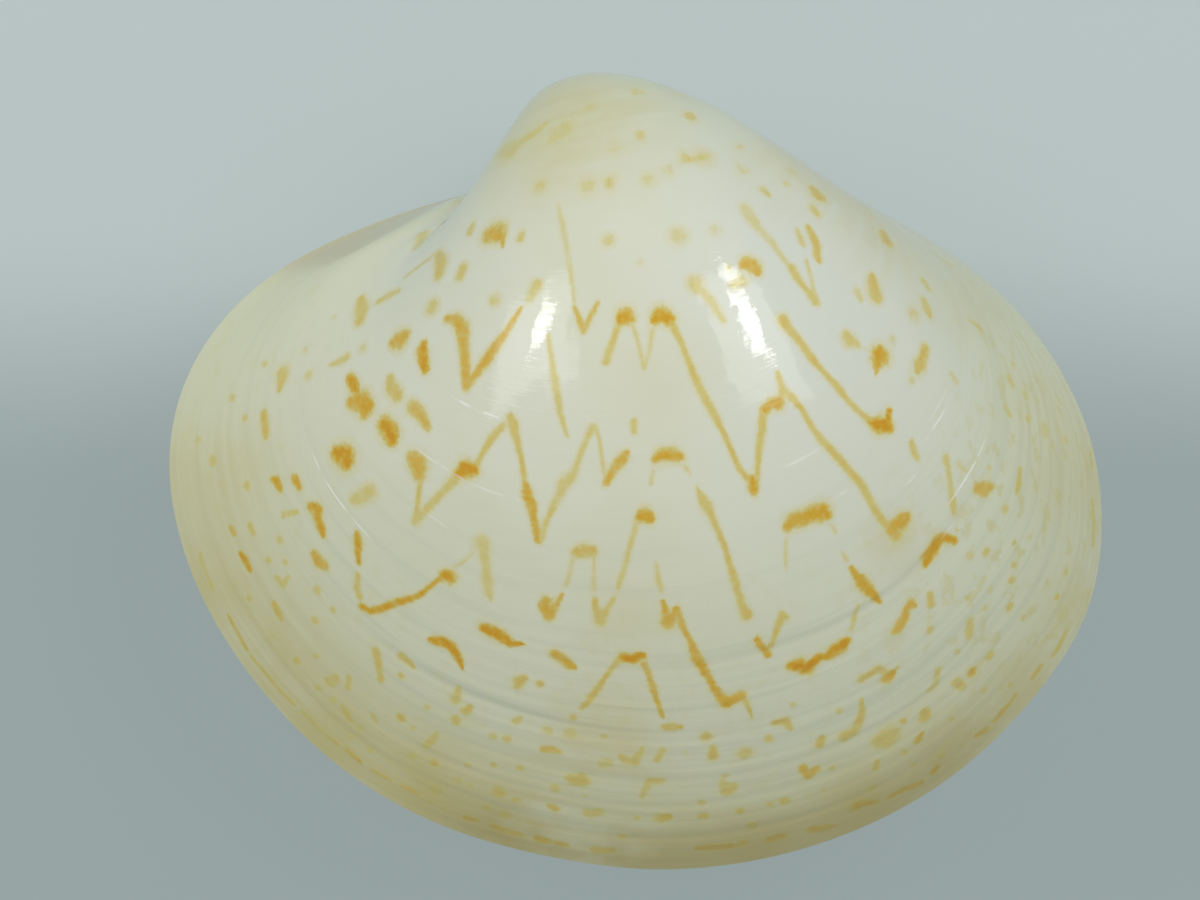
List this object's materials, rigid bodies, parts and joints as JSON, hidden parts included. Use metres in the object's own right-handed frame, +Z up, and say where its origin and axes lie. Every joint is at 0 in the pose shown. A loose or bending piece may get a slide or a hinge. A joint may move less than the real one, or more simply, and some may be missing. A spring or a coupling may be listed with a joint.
{
  "type": "clam shell",
  "caption": "Closed pitar pellucidus clam: two hollow, swollen, glossy white valves with orange zigzag marks, joined by a ligament, lying on the right valve.",
  "frame": {"origin": "on the surface the shell lies on, under the middle of its outline seen from above", "axes": "+X towards the rear end of the animal, +Y towards the beaks, +Z up, out of the left valve; the plane where the valves meet is level"},
  "size_m": [0.034, 0.0288, 0.0208],
  "materials": {
    "left_valve": "glossy white shell with orange zigzag marks",
    "right_valve": "glossy white shell with orange zigzag marks",
    "ligament": "dull brown horn"
  },
  "bodies": {
    "root": {"left_valve": "left_valve", "right_valve": "right_valve", "ligament": "ligament"}
  },
  "joints": []
}
